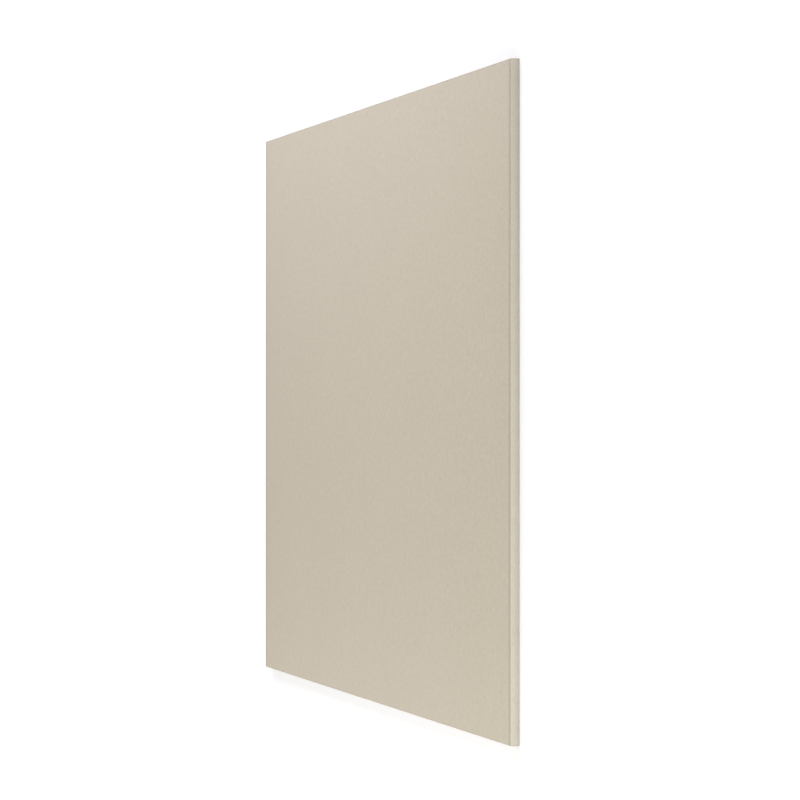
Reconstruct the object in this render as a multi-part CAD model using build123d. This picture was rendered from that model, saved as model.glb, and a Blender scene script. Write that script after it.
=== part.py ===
from build123d import *
import os

# A sheet of drywall lying face up: gypsum bound in paper along its two long edges, which are square,
# and sawn off square at its two ends. +X runs along the sheet, +Y across it and +Z out of its face.
# The origin is at the middle of the back. All sizes are in millimetres.

# Driving dimensions
SHEET_LENGTH = 1800.0  # from one sawn end to the other
SHEET_WIDTH = 900.0  # from one bound edge to the other
SHEET_THICKNESS = 12.5  # from the back to the face
FACE_FOLD_RADIUS = 1.0  # outside of the crease where the face paper turns down a long edge
BACK_FOLD_RADIUS = 1.6  # outside of the softer crease where that paper turns under, onto the back


def board_section():
    """The section across the sheet, resting on its back, with the four paper folds rounded."""
    with BuildSketch(Plane.YZ) as section:
        Rectangle(SHEET_WIDTH, SHEET_THICKNESS, align=(Align.CENTER, Align.MIN))
        face_corners = section.vertices().group_by(Axis.Y)[-1]
        fillet(face_corners, FACE_FOLD_RADIUS)
        back_corners = section.vertices().group_by(Axis.Y)[0]
        fillet(back_corners, BACK_FOLD_RADIUS)
    return section.sketch


def drywall_sheet():
    """The section carried along the whole sheet, half of the length each way, with square ends."""
    return extrude(board_section(), SHEET_LENGTH / 2, both=True)


os.makedirs("parts", exist_ok=True)
export_step(drywall_sheet(), "parts/drywall_sheet.step")
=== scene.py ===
"""Looks of a drywall sheet: its papers, its sawn ends, a pale studio floor and the photograph's camera.

The sheet lies face up on the floor, with +X along it, +Y across it and +Z out of its face. The camera
looks down on it from beyond its +X end and lies on its side, so that the sheet stands up in the picture.
Lengths are in metres, and MM turns millimetres into metres.
"""

import math

import bpy
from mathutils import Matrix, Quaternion, Vector, noise


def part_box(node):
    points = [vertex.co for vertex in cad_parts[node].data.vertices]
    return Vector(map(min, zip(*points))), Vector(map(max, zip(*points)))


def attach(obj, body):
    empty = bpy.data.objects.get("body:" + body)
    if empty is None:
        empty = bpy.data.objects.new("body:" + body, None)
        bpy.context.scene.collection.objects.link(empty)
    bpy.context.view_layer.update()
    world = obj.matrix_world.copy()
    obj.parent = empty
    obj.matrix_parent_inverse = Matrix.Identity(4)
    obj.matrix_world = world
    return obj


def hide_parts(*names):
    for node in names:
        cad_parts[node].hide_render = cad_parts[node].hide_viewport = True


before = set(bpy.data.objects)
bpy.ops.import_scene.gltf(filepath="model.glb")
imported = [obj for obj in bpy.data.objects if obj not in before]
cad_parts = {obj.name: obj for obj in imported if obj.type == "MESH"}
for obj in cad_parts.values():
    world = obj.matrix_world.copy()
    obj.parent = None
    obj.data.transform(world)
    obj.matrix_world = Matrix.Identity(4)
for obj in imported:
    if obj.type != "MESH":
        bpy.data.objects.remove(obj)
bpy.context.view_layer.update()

MM = 0.001
SHEET_NODE = "drywall_sheet"

# The board's box and folds, as the solid has them
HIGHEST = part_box(SHEET_NODE)[1]
HALF_LENGTH = HIGHEST.x
HALF_WIDTH = HIGHEST.y
THICKNESS = HIGHEST.z
FACE_FOLD = 1.0 * MM
BACK_FOLD = 1.6 * MM

# The papers. The face paper turns down each long edge and under it, and the back paper laps it there
PAPER = 0.45 * MM  # thickness that shows round a sawn end
LAP = 16.0 * MM  # strip of face paper that is left bare on the back, beside each long edge
LAP_STEP = 0.3 * MM  # how far that strip lies above the back paper
LAP_BEVEL = 0.3 * MM  # slope of the back paper's trimmed edge

# The sawn core, which lies a little behind the paper round it
CORE_BEVEL = 0.15 * MM  # slope from the paper's edge down to the core
CORE_DEPTH = 0.12 * MM  # least depth behind the paper
SAW_MARKS = 0.30 * MM  # further depth of the saw's ripples
SAW_PITCH = 7.0 * MM  # from one ripple to the next
PITS = 0.45 * MM  # further depth of the pits where bubbles were cut open
PIT_SPACING = 6.0 * MM
PIT_SQUASH = 2  # times shorter through the sheet than across it
PIT_LEVEL = 0.25  # noise above this is a pit
PIT_SHIFT = 40.0  # keeps the pits' noise apart from the ripples'
END_SHIFT = 10.0  # keeps the noises of the two ends apart

# Darker colour on the papers: painted shade along the face's folds, and darker towards the sawn ends
FOLD_SHADE_REACH = 2.4 * MM  # how far the painted shade reaches in from the face's folds
FOLD_SHADE_MOST = 0.4  # share of the darker colour right at a fold
END_DARKENING_REACH = 14.0 * MM  # how far the darkening reaches in from the sawn ends
END_DARKENING_MOST = 0.64  # share of the darker colour right at an end
DARKENING_PATCH = 4.0 * MM  # size of the patches where it is fainter or stronger
DARKENING_UNEVEN = (0.6, 1.3)  # times the wear, where it is faintest and where it is strongest

# The mesh
COLUMNS = 400  # across the sheet
STATIONS = 30  # along the sheet
EDGE_ROWS = 6  # up the straight part of a long edge
FOLD_STEPS = 4  # round each fold
CRISP_TURN = math.radians(40)  # edges that turn by more than this aren't smoothed

# The bake map: the skin is laid out flat in one piece, and the two ends are strips above it
MAP_MARGIN = 0.004  # left free at the map's sides
SKIN_TOP = 0.945  # height at which the skin ends
END_STRIP = 0.018  # height of an end's strip
END_BASES = {-1: 0.953, 1: 0.977}  # where the strips of the -X and +X ends start

# Slots of the board's materials
FACE_PAPER, BACK_PAPER, CUT_PAPER, CORE = range(4)

# Colours, as linear red, green, blue and opacity
FACE_DARK = (0.497, 0.447, 0.348, 1.0)
FACE_PALE = (0.628, 0.567, 0.452, 1.0)
FACE_FLECK = (0.34, 0.29, 0.22, 1.0)
BACK_DARK = (0.27, 0.235, 0.185, 1.0)
BACK_PALE = (0.42, 0.37, 0.30, 1.0)
BACK_FLECK = (0.15, 0.13, 0.11, 1.0)
# Darker colour of the papers' edges: painted shade at the face's folds, and darker towards the sawn ends
EDGE_DARKENING_COLOUR = (0.33, 0.30, 0.25, 1.0)
CUT_DARK = (0.37, 0.325, 0.255, 1.0)
CUT_PALE = (0.65, 0.585, 0.475, 1.0)
CORE_DARK = (0.507, 0.474, 0.405, 1.0)
CORE_PALE = (0.756, 0.706, 0.617, 1.0)
# Painted shade inside the core's open pores
PAINTED_PORE_SHADE = (0.46, 0.42, 0.345, 1.0)
AMBIENT_TINT = (1.0, 0.983, 0.896, 1.0)
WHITE = (1.0, 1.0, 1.0, 1.0)

# Grain of the papers, as sizes along the sheet, across it and through it
BUNDLES = (6.0 * MM, 2.6 * MM, 2.6 * MM)  # of fibres
FIBRES = (3.2 * MM, 0.35 * MM, 0.35 * MM)
CROSSING_FIBRES = (2.4 * MM, 0.35 * MM, 0.35 * MM)
LEFT_TURN = math.radians(52)  # of the crossing fibres from the sheet's length
RIGHT_TURN = math.radians(-58)
FORMATION = (9.0 * MM, 7.0 * MM, 7.0 * MM)  # thicker and thinner patches of pulp
CLOUDS = (260.0 * MM, 150.0 * MM, 150.0 * MM)  # slow changes of shade
TORN_LAYERS = (0.6 * MM, 2.5 * MM, 0.15 * MM)  # on the cut edge

# Weights of that grain in the papers' shade, and of the bundles in their relief
FIBRE_WEIGHT = 0.45
BUNDLE_WEIGHT = 0.7
FORMATION_WEIGHT = 0.8
CLOUD_WEIGHT = 0.12
BUNDLE_RELIEF = 0.5

# Grain of the core, and its weights in the core's shade
CHALK = 1.2 * MM
CORE_PATCH = 14.0 * MM
CHALK_WEIGHT = 0.35
PATCH_WEIGHT = 0.3
# weight of the rise in lightness from the back up to the face paper
LIGHTER_TO_FACE_WEIGHT = 0.55

# Flecks and pores, as the spacing of their cells, their largest radius and the share of cells with one
FACE_FLECKS = (9.0 * MM, 0.5 * MM, 0.25)
BACK_FLECKS = (9.0 * MM, 0.5 * MM, 0.6)
WIDE_PORES = (3.1 * MM, 0.8 * MM, 0.5)
FINE_PORES = (1.1 * MM, 0.3 * MM, 0.6)
SMALLEST_FLECK = 0.3  # smallest radius, as a share of the largest
FLECK_FADE = 0.5  # share of a fleck's radius at which it starts to fade

# Finish: least and most roughness, gloss, and strength and depth of relief too fine for the mesh
FACE_ROUGH = (0.74, 0.86)
BACK_ROUGH = (0.80, 0.92)
CORE_ROUGH = (0.82, 0.95)
CUT_ROUGH = (0.82, 0.94)
PAPER_GLOSS = 0.3
SAWN_GLOSS = 0.2
PAPER_RELIEF = (0.35, 0.06 * MM)
CORE_RELIEF = (0.6, 0.25 * MM)
CUT_RELIEF = (0.5, 0.1 * MM)
USUAL_NOISE = (0.3, 0.7)  # most of a shader's noise lies between these

# Camera, fitted to the outlines and corners that the photograph shows
CAMERA_PLACE = Vector((6.4116, -0.0107, 1.3311))
CAMERA_AIM = Vector((0.2061, 0.0045, THICKNESS))
CAMERA_ROLL = math.radians(-89.963)
CAMERA_LENS = 194.91  # in millimetres, as the sensor's width is
CAMERA_SENSOR = 36.0
FAR_CLIP = 200.0

# Stage
FLOOR_HALF = 60.0  # half of the floor's side
FLOOR_DROP = 0.1 * MM  # keeps the floor clear of the back
FLOOR_BOUNCE = 0.8  # grey of the floor in the light that it throws on the sheet
FLOOR_UNEVEN = 0.02  # how far that grey varies either way
FLOOR_PATCH = 300.0 * MM  # size of the patches that it varies by
FLOOR_SHADED = 0.7  # grey of the floor as it is seen, which the sheet's shadow darkens
NEAR_GLOW, FAR_GLOW = 0.33, 0.82  # white that no shadow takes away, beside the sheet and far from it
GLOW_RISE = 0.5  # distance from the sheet at which the glow is whole
AMBIENT = 0.42  # strength of the light from all round


def mix(first, second, share):
    """The number a share of the way from the first to the second."""
    return first + (second - first) * share


def even(size):
    """The same number for all three axes."""
    return (size, size, size)


def linked(name, data):
    """A new object of the scene that holds that data."""
    made = bpy.data.objects.new(name, data)
    bpy.context.collection.objects.link(made)
    return made


def column_shares():
    """Places of the columns across the section, from -1 to 1, with one at each side of the lap steps."""
    flat_half = HALF_WIDTH - BACK_FOLD
    lap_start = (HALF_WIDTH - LAP) / flat_half
    lap_end = (HALF_WIDTH - LAP + LAP_BEVEL) / flat_half
    shares = [2 * column / COLUMNS - 1 for column in range(COLUMNS + 1)]
    shares += [-lap_end, -lap_start, lap_start, lap_end]
    return sorted(shares)


def is_back_paper(share):
    """Whether a column lies on the back paper, its trimmed edge included."""
    return abs(share) * (HALF_WIDTH - BACK_FOLD) < HALF_WIDTH - LAP + LAP_BEVEL / 2


def side_points(inset):
    """(half-width, height) up the section's side, from the flat of the back to the flat of the face."""
    edge = HALF_WIDTH - inset
    low = LAP_STEP + inset
    high = THICKNESS - inset
    back_fold = BACK_FOLD - inset
    face_fold = FACE_FOLD - inset
    points = []
    for step in range(FOLD_STEPS + 1):
        turn = math.pi / 2 * step / FOLD_STEPS
        points.append((edge - back_fold * (1 - math.sin(turn)), low + back_fold * (1 - math.cos(turn))))
    for row in range(1, EDGE_ROWS):
        points.append((edge, mix(low + back_fold, high - face_fold, row / EDGE_ROWS)))
    for step in range(FOLD_STEPS + 1):
        turn = math.pi / 2 * step / FOLD_STEPS
        points.append((edge - face_fold * (1 - math.cos(turn)), high - face_fold * (1 - math.sin(turn))))
    return points


def section_grid(inset):
    """Rows of (y, z) over the section, inset all round, from its back up to its face."""
    sides = side_points(inset)
    low, high = sides[0][1], sides[-1][1]
    rows = []
    for half_width, height in sides:
        rise = (height - low) / (high - low)
        row = []
        for share in column_shares():
            bottom = low - LAP_STEP if is_back_paper(share) else low
            row.append((share * half_width, mix(bottom, high, rise)))
        rows.append(row)
    return rows


def grid_rim(row_count, column_count):
    """(row, column) of the grid's rim: along the back, up the +Y side, back along the face and down."""
    last_row, last_column = row_count - 1, column_count - 1
    rim = [(0, column) for column in range(last_column)]
    rim += [(row, last_column) for row in range(last_row)]
    rim += [(last_row, column) for column in range(last_column, 0, -1)]
    rim += [(row, 0) for row in range(last_row, 0, -1)]
    return rim


def core_depth(y, z, end):
    """How far behind the paper the sawn core lies at a point of an end."""
    ripple_place = (y / SAW_PITCH, z / SAW_PITCH, END_SHIFT * end)
    pit_place = (y / PIT_SPACING, z / PIT_SPACING * PIT_SQUASH, PIT_SHIFT + END_SHIFT * end)
    ripple = noise.noise(Vector(ripple_place))
    pit = noise.noise(Vector(pit_place))
    return CORE_DEPTH + SAW_MARKS * (ripple + 1) / 2 + PITS * max(0.0, pit - PIT_LEVEL)


class BoardMesh:
    """Gathers the board's vertices, and its faces with their material slots and bake map corners."""

    def __init__(self):
        self.vertices = []
        self.faces = []
        self.slots = []
        self.map_corners = []

    def add_vertices(self, points):
        """Adds points and returns their numbers."""
        first = len(self.vertices)
        self.vertices += points
        return list(range(first, len(self.vertices)))

    def add_face(self, corners, slot, map_points):
        """Adds one face, its corners given anticlockwise from outside."""
        self.faces.append(corners)
        self.slots.append(slot)
        self.map_corners += map_points

    def make_object(self, name, materials):
        """Makes the Blender object, with its folds smooth and its cut ends crisp."""
        mesh = bpy.data.meshes.new(name)
        mesh.from_pydata(self.vertices, [], self.faces)
        for material in materials:
            mesh.materials.append(material)
        mesh.polygons.foreach_set("material_index", self.slots)
        mesh.polygons.foreach_set("use_smooth", [True] * len(self.faces))
        bake_map = mesh.uv_layers.new(name="OFBake")
        bake_map.data.foreach_set("uv", [number for corner in self.map_corners for number in corner])
        mesh.set_sharp_from_angle(angle=CRISP_TURN)
        mesh.update()
        return linked(name, mesh)


def add_skin(board, outline, rim, shares):
    """The papers all along the sheet. Returns the vertex numbers round its first and last stations."""
    lengths = [0.0]
    for here, there in zip(outline, outline[1:] + outline[:1]):
        lengths.append(lengths[-1] + math.dist(here, there))
    up_map = [mix(MAP_MARGIN, SKIN_TOP, length / lengths[-1]) for length in lengths]
    along_map = [mix(MAP_MARGIN, 1 - MAP_MARGIN, station / STATIONS) for station in range(STATIONS + 1)]

    loops = []
    for station in range(STATIONS + 1):
        x = mix(-HALF_LENGTH, HALF_LENGTH, station / STATIONS)
        loops.append(board.add_vertices([(x, y, z) for y, z in outline]))

    count = len(outline)
    for place in range(count):
        following = (place + 1) % count
        row, column = rim[place]
        next_row, next_column = rim[following]
        on_back = row == next_row == 0
        covered = on_back and (is_back_paper(shares[column]) or is_back_paper(shares[next_column]))
        slot = BACK_PAPER if covered else FACE_PAPER
        for station in range(STATIONS):
            here, there = loops[station], loops[station + 1]
            low, high = up_map[place], up_map[place + 1]
            left, right = along_map[station], along_map[station + 1]
            board.add_face(
                (here[place], here[following], there[following], there[place]),
                slot,
                [(left, low), (left, high), (right, high), (right, low)],
            )
    return loops[0], loops[-1]


def add_end(board, end, outer_loop, outer_outline, rim, column_count):
    """One sawn end: the cut edge of the papers, the slope behind it and the core's rough face."""
    cut_grid = section_grid(PAPER)
    core_grid = section_grid(PAPER + CORE_BEVEL)
    base = END_BASES[end]

    def map_point(y, z):
        return mix(MAP_MARGIN, 1 - MAP_MARGIN, (y / HALF_WIDTH + 1) / 2), base + END_STRIP * z / THICKNESS

    def add_quad(corners, slot, points):
        if end < 0:
            corners, points = corners[::-1], points[::-1]
        board.add_face(tuple(corners), slot, [map_point(y, z) for y, z in points])

    cut_outline = [cut_grid[row][column] for row, column in rim]
    cut_loop = board.add_vertices([(end * HALF_LENGTH, y, z) for y, z in cut_outline])
    core_ids = []
    for row in core_grid:
        points = [(end * (HALF_LENGTH - core_depth(y, z, end)), y, z) for y, z in row]
        core_ids.append(board.add_vertices(points))
    core_outline = [core_grid[row][column] for row, column in rim]
    core_loop = [core_ids[row][column] for row, column in rim]

    count = len(rim)
    rings = [
        (outer_loop, outer_outline, cut_loop, cut_outline, CUT_PAPER),
        (cut_loop, cut_outline, core_loop, core_outline, CORE),
    ]
    for outside, outside_points, inside, inside_points, slot in rings:
        for place in range(count):
            following = (place + 1) % count
            add_quad(
                [outside[place], outside[following], inside[following], inside[place]],
                slot,
                [
                    outside_points[place],
                    outside_points[following],
                    inside_points[following],
                    inside_points[place],
                ],
            )
    for row in range(len(core_grid) - 1):
        for column in range(column_count - 1):
            places = [(row, column), (row, column + 1), (row + 1, column + 1), (row + 1, column)]
            add_quad([core_ids[r][c] for r, c in places], CORE, [core_grid[r][c] for r, c in places])


def drywall_board(materials):
    """The whole sheet as one closed mesh."""
    shares = column_shares()
    outer_grid = section_grid(0.0)
    rim = grid_rim(len(outer_grid), len(shares))
    outline = [outer_grid[row][column] for row, column in rim]
    board = BoardMesh()
    first_loop, last_loop = add_skin(board, outline, rim, shares)
    for end, loop in ((-1, first_loop), (1, last_loop)):
        add_end(board, end, loop, outline, rim, len(shares))
    return board.make_object("board", materials)


def add_node(tree, kind, inputs=(), **settings):
    """Adds a shader node. inputs pairs a socket's name or number with a value or another node's output."""
    made = tree.nodes.new("ShaderNode" + kind)
    for name, value in settings.items():
        setattr(made, name, value)
    for name, value in inputs:
        if isinstance(value, bpy.types.NodeSocket):
            tree.links.new(value, made.inputs[name])
        else:
            made.inputs[name].default_value = value
    return made


def math_result(tree, operation, *values):
    """The number that an operation makes of one or more numbers."""
    return add_node(tree, "Math", enumerate(values), operation=operation).outputs[0]


def vector_result(tree, operation, *values):
    """The vector that an operation makes of one or more vectors."""
    return add_node(tree, "VectorMath", enumerate(values), operation=operation).outputs[0]


def bare_tree(owner):
    """The emptied node tree of a material or a world."""
    owner.use_nodes = True
    owner.node_tree.nodes.clear()
    return owner.node_tree


def new_material(name):
    """A material with a bare node tree, and that tree with its principled shader."""
    material = bpy.data.materials.new(name)
    tree = bare_tree(material)
    shader = add_node(tree, "BsdfPrincipled")
    add_node(tree, "OutputMaterial", [("Surface", shader.outputs["BSDF"])])
    return material, tree, shader


def set_finish(tree, shader, colour, rough, height, relief, gloss):
    """Links a surface's colour, roughness and height to its shader, and sets its relief and gloss."""
    strength, depth = relief
    bump = add_node(tree, "Bump", [("Strength", strength), ("Distance", depth), ("Height", height)])
    tree.links.new(colour, shader.inputs["Base Color"])
    tree.links.new(rough, shader.inputs["Roughness"])
    tree.links.new(bump.outputs[0], shader.inputs["Normal"])
    shader.inputs["Specular IOR Level"].default_value = gloss


def object_place(tree):
    """The place on the object, in its own axes."""
    return add_node(tree, "TexCoord").outputs["Object"]


def noise_texture(tree, size, detail, shift, turn=0.0):
    """Noise whose grains measure size, along the sheet, across it and through it, turned about Z.

    The shift takes it from another part of the noise, so that two textures don't fall together.
    """
    place = object_place(tree)
    if turn:
        turned = add_node(tree, "VectorRotate", [("Vector", place), ("Angle", turn)], rotation_type="Z_AXIS")
        place = turned.outputs[0]
    scale = tuple(1 / length for length in size)
    scaled = vector_result(tree, "MULTIPLY_ADD", place, scale, even(shift))
    return add_node(tree, "TexNoise", [("Vector", scaled), ("Scale", 1.0), ("Detail", detail)])


def grain(tree, size, detail=2.0, shift=0.0, turn=0.0):
    """A grey noise from 0 to 1."""
    return noise_texture(tree, size, detail, shift, turn).outputs["Fac"]


def blended(tree, parts):
    """0.5 plus each noise's departure from 0.5 times its weight."""
    total = 0.5 - sum(weight for _, weight in parts) / 2
    for value, weight in parts:
        total = math_result(tree, "MULTIPLY_ADD", value, weight, total)
    return total


def tinted(tree, share, first, second):
    """The colour a share of the way from the first to the second."""
    # A Mix node has its two colours at inputs 6 and 7, and the colour that they make at output 2
    return add_node(tree, "Mix", [(0, share), (6, first), (7, second)], data_type="RGBA").outputs[2]


def ranged(tree, value, source, target):
    """A value carried from one range, as its low and its high, to another, and held within that."""
    return add_node(tree, "MapRange", enumerate((value, *source, *target)), clamp=True).outputs[0]


def grey(level):
    """A shader colour that is equally red, green and blue."""
    return (level, level, level, 1.0)


def flecks(tree, spacing, radius, share):
    """1 inside sparse ragged flecks, 0 elsewhere.

    That share of the cells, which lie that spacing apart, hold one fleck each, of any size up to the radius.
    """
    ragged = noise_texture(tree, even(radius), detail=1.0, shift=spacing / MM).outputs["Color"]
    place = vector_result(tree, "MULTIPLY_ADD", ragged, even(radius), object_place(tree))
    cells = add_node(tree, "TexVoronoi", [("Vector", place), ("Scale", 1 / spacing)]).outputs
    chance = add_node(tree, "SeparateColor", [(0, cells["Color"])]).outputs
    chosen = math_result(tree, "LESS_THAN", chance["Red"], share)
    largest = radius / spacing
    size = ranged(tree, chance["Green"], (0.0, 1.0), (largest * SMALLEST_FLECK, largest))
    reach = math_result(tree, "DIVIDE", cells["Distance"], size)
    inside = ranged(tree, reach, (FLECK_FADE, 1.0), (1.0, 0.0))
    return math_result(tree, "MULTIPLY", inside, chosen)


def edge_darkening(tree):
    """How far the papers are darkened: painted shade along the face's folds, and darker towards the sawn
    ends, fading inwards.
    """
    outwards = vector_result(tree, "ABSOLUTE", object_place(tree))
    axes = add_node(tree, "SeparateXYZ", [(0, outwards)]).outputs
    end_darkening = ranged(tree, axes["X"], (HALF_LENGTH - END_DARKENING_REACH, HALF_LENGTH), (0.0, END_DARKENING_MOST))
    corner = HALF_WIDTH + THICKNESS
    shaded_fold_span = (corner - FOLD_SHADE_REACH, corner - FACE_FOLD / 2)
    fold_shade = ranged(tree, math_result(tree, "ADD", axes["Y"], axes["Z"]), shaded_fold_span, (0.0, FOLD_SHADE_MOST))
    darkening = math_result(tree, "MAXIMUM", end_darkening, fold_shade)
    uneven = ranged(tree, grain(tree, even(DARKENING_PATCH), shift=61.0), USUAL_NOISE, DARKENING_UNEVEN)
    return math_result(tree, "MULTIPLY", darkening, uneven)


def paper_material(name, dark, pale, fleck, fleck_cells, rough):
    """Board paper: bundles of fibres along the sheet, crossing fibres, a cloudy formation and flecks."""
    material, tree, shader = new_material(name)
    bundles = grain(tree, BUNDLES, detail=1.0)
    along = grain(tree, FIBRES, detail=1.0, shift=5.0)
    left = grain(tree, CROSSING_FIBRES, detail=1.0, shift=7.0, turn=LEFT_TURN)
    right = grain(tree, CROSSING_FIBRES, detail=1.0, shift=9.0, turn=RIGHT_TURN)
    formation = grain(tree, FORMATION, detail=3.0, shift=17.0)
    clouds = grain(tree, CLOUDS, detail=2.0, shift=47.0)
    fibres = [(strands, FIBRE_WEIGHT) for strands in (along, left, right)]
    patches = [(bundles, BUNDLE_WEIGHT), (formation, FORMATION_WEIGHT), (clouds, CLOUD_WEIGHT)]
    clean = tinted(tree, blended(tree, fibres + patches), dark, pale)
    flecked = tinted(tree, flecks(tree, *fleck_cells), clean, fleck)
    set_finish(
        tree,
        shader,
        # colour darkened along the face's folds as painted shade, and towards the sawn ends
        colour=tinted(tree, edge_darkening(tree), flecked, EDGE_DARKENING_COLOUR),
        rough=ranged(tree, bundles, USUAL_NOISE, rough),
        height=blended(tree, fibres + [(bundles, BUNDLE_RELIEF)]),
        relief=PAPER_RELIEF,
        gloss=PAPER_GLOSS,
    )
    return material


def cut_paper_material():
    """The sawn edge of the papers: brown layered stock with torn fibres."""
    material, tree, shader = new_material("paper_cut_edge")
    torn = grain(tree, TORN_LAYERS, detail=3.0)
    set_finish(
        tree,
        shader,
        colour=tinted(tree, torn, CUT_DARK, CUT_PALE),
        rough=ranged(tree, torn, USUAL_NOISE, CUT_ROUGH),
        height=torn,
        relief=CUT_RELIEF,
        gloss=SAWN_GLOSS,
    )
    return material


def core_material():
    """Sawn gypsum: pale and chalky, with open pores painted darker as their shade, lighter towards the face
    paper and darker towards the back.
    """
    material, tree, shader = new_material("gypsum_core")
    chalk = grain(tree, even(CHALK), detail=4.0)
    patches = grain(tree, even(CORE_PATCH), detail=2.0, shift=11.0)
    height = add_node(tree, "SeparateXYZ", [(0, object_place(tree))]).outputs["Z"]
    # lighter towards the face paper, darker towards the back
    lighter_to_face = ranged(tree, height, (0.0, THICKNESS), (0.0, 1.0))
    shades = [(chalk, CHALK_WEIGHT), (patches, PATCH_WEIGHT), (lighter_to_face, LIGHTER_TO_FACE_WEIGHT)]
    gypsum = tinted(tree, blended(tree, shades), CORE_DARK, CORE_PALE)
    # The pores are hollows in the relief, and their darker colour is painted shade
    pores = math_result(tree, "MAXIMUM", flecks(tree, *WIDE_PORES), flecks(tree, *FINE_PORES))
    set_finish(
        tree,
        shader,
        colour=tinted(tree, pores, gypsum, PAINTED_PORE_SHADE),
        rough=ranged(tree, chalk, USUAL_NOISE, CORE_ROUGH),
        height=math_result(tree, "SUBTRACT", chalk, pores),
        relief=CORE_RELIEF,
        gloss=SAWN_GLOSS,
    )
    return material


def board_materials():
    """The board's materials, in the order of its slots."""
    face = paper_material("face_paper", FACE_DARK, FACE_PALE, FACE_FLECK, FACE_FLECKS, FACE_ROUGH)
    back = paper_material("back_paper", BACK_DARK, BACK_PALE, BACK_FLECK, BACK_FLECKS, BACK_ROUGH)
    return [face, back, cut_paper_material(), core_material()]


def seen_as_white(tree, plain, white):
    """A shader that the camera, glossy and clear surfaces see as the white one, and other light as plain."""
    path = add_node(tree, "LightPath").outputs
    seen = path["Is Camera Ray"]
    for ray in ("Is Glossy Ray", "Is Transmission Ray"):
        seen = math_result(tree, "MAXIMUM", seen, path[ray])
    return add_node(tree, "MixShader", [(0, seen), (1, plain), (2, white)]).outputs[0]


def floor_material():
    """A pale floor that the camera sees as white, but for the sheet's own shadow."""
    material = bpy.data.materials.new("studio_floor")
    tree = bare_tree(material)
    patches = grain(tree, even(FLOOR_PATCH))
    bounce = tinted(tree, patches, grey(FLOOR_BOUNCE - FLOOR_UNEVEN), grey(FLOOR_BOUNCE + FLOOR_UNEVEN))
    plain = add_node(tree, "BsdfDiffuse", [("Color", bounce)]).outputs[0]
    shaded = add_node(tree, "BsdfDiffuse", [("Color", grey(FLOOR_SHADED))]).outputs[0]
    outwards = vector_result(tree, "ABSOLUTE", object_place(tree))
    past_edge = vector_result(tree, "SUBTRACT", outwards, (HALF_LENGTH, HALF_WIDTH, 0.0))
    clear_of_sheet = vector_result(tree, "MAXIMUM", past_edge, even(0.0))
    distance = add_node(tree, "VectorMath", [(0, clear_of_sheet)], operation="LENGTH").outputs["Value"]
    strength = ranged(tree, distance, (0.0, GLOW_RISE), (NEAR_GLOW, FAR_GLOW))
    glow = add_node(tree, "Emission", [("Color", WHITE), ("Strength", strength)]).outputs[0]
    white = add_node(tree, "AddShader", [(0, shaded), (1, glow)]).outputs[0]
    add_node(tree, "OutputMaterial", [("Surface", seen_as_white(tree, plain, white))])
    return material


def white_floor():
    """A large flat floor under the sheet."""
    corners = [(-1, -1), (1, -1), (1, 1), (-1, 1)]
    mesh = bpy.data.meshes.new("floor")
    mesh.from_pydata([(x * FLOOR_HALF, y * FLOOR_HALF, -FLOOR_DROP) for x, y in corners], [], [(0, 1, 2, 3)])
    mesh.materials.append(floor_material())
    return linked("floor", mesh)


def white_world():
    """Even light from all round, which the camera sees as white."""
    world = bpy.data.worlds.new("studio")
    bpy.context.scene.world = world
    tree = bare_tree(world)
    plain = add_node(tree, "Background", [("Color", AMBIENT_TINT), ("Strength", AMBIENT)]).outputs[0]
    white = add_node(tree, "Background", [("Color", WHITE), ("Strength", 1.0)]).outputs[0]
    add_node(tree, "OutputWorld", [("Surface", seen_as_white(tree, plain, white))])


def facing(place, aim):
    """The turn of a lamp or an upright camera that stands at a place and points at its aim."""
    return (Vector(aim) - Vector(place)).to_track_quat("-Z", "Y")


def soft_box(name, place, aim, size, power, tint):
    """A rectangular studio lamp that lights the sheet but isn't seen itself."""
    lamp = bpy.data.lights.new(name, "AREA")
    lamp.shape = "RECTANGLE"
    lamp.size, lamp.size_y = size
    lamp.energy = power
    lamp.color = tint
    holder = linked(name, lamp)
    holder.location = place
    holder.rotation_mode = "QUATERNION"
    holder.rotation_quaternion = facing(place, aim)
    holder.visible_camera = False


def studio_lights():
    """One soft box overhead, one along each long edge, and one that lights the near end from the -Y side."""
    soft_box(
        "overhead",
        place=(0, 0, 3.2),
        aim=(0, 0, 0),
        size=(3.0, 3.0),
        power=21.5,
        tint=(0.996, 1.0, 0.95),
    )
    soft_box(
        "plus_y_edge",
        place=(-0.6, 1.3, 0.8),
        aim=(-0.6, 0.35, 0),
        size=(3.6, 0.8),
        power=23.6,
        tint=(0.813, 0.81, 1.0),
    )
    soft_box(
        "minus_y_edge",
        place=(-0.15, -0.85, 0.35),
        aim=(-0.15, -0.4, 0),
        size=(2.7, 0.3),
        power=3.85,
        tint=(0.91, 0.885, 1.0),
    )
    soft_box(
        "near_end",
        place=(2.65, -1.02, 0.62),
        aim=(0.9, -0.2, 0),
        size=(0.8, 0.8),
        power=20.6,
        tint=(0.995, 1.0, 0.965),
    )


def photo_camera():
    """The photograph's camera."""
    data = bpy.data.cameras.new("camera")
    data.lens = CAMERA_LENS
    data.sensor_width = CAMERA_SENSOR
    data.clip_end = FAR_CLIP
    camera = linked("camera", data)
    camera.location = CAMERA_PLACE
    camera.rotation_mode = "QUATERNION"
    camera.rotation_quaternion = facing(CAMERA_PLACE, CAMERA_AIM) @ Quaternion((0, 0, 1), CAMERA_ROLL)
    bpy.context.scene.camera = camera


board = drywall_board(board_materials())
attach(board, "root")
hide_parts(SHEET_NODE)

white_floor()
white_world()
studio_lights()
photo_camera()
bpy.context.scene.view_settings.view_transform = "Standard"
